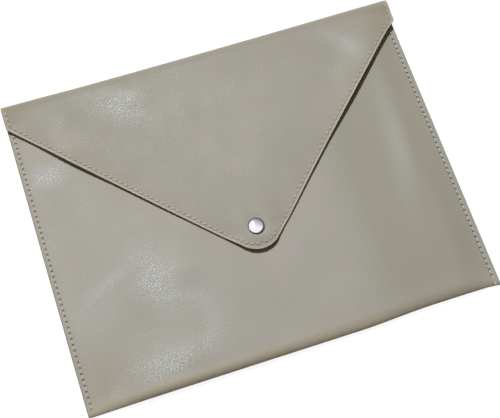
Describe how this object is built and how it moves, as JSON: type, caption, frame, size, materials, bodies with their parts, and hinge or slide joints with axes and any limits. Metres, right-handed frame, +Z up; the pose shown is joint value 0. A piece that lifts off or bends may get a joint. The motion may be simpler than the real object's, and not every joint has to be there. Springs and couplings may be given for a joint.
{
  "type": "document wallet",
  "caption": "Flat envelope-style document wallet in smooth taupe leather, sewn at both sides, with a pointed flap that folds at the top and closes with a metal ring-spring snap.",
  "frame": {"origin": "middle of the underside of the closed wallet's box, on the surface it lies on", "axes": "+X along the width, +Y towards the top fold, +Z up out of the front, flap closed"},
  "size_m": [0.3262, 0.256, 0.0144],
  "materials": {
    "taupe_leather": "smooth coated leather with a fine grain and a soft sheen",
    "lining_cloth": "dull woven cloth bonded to the leather",
    "seam_thread": "twisted thread, a little paler than the leather",
    "snap_metal": "polished nickel plate",
    "spring_wire": "drawn steel wire"
  },
  "bodies": {
    "pocket": {"back_panel": "taupe_leather", "bottom_fold": "taupe_leather", "front_panel": "taupe_leather", "back_lining": "lining_cloth", "front_lining": "lining_cloth", "left_seam_thread": "seam_thread", "right_seam_thread": "seam_thread", "mouth_seam_thread": "seam_thread", "snap_stud": "snap_metal", "snap_post": "snap_metal"},
    "spine": {"top_fold": "taupe_leather"},
    "flap": {"flap_panel": "taupe_leather", "flap_lining": "lining_cloth", "flap_seam_thread": "seam_thread", "snap_cap": "snap_metal", "snap_socket": "snap_metal", "socket_spring": "spring_wire"}
  },
  "joints": [
    {"name": "spine_fold", "type": "hinge", "parent": "pocket", "child": "spine", "pos_m": [0, 0.1275, 0.0005], "axis": [-1, 0, 0], "range_deg": [0, 88]},
    {"name": "flap_fold", "type": "hinge", "parent": "spine", "child": "flap", "pos_m": [0, 0.1275, 0.0093], "axis": [-1, 0, 0], "range_deg": [0, 88], "deforming": ["socket_spring"]}
  ],
  "couplings": [
    {"joint": "spine_fold", "follows": "flap_fold", "ratio": 1}
  ]
}
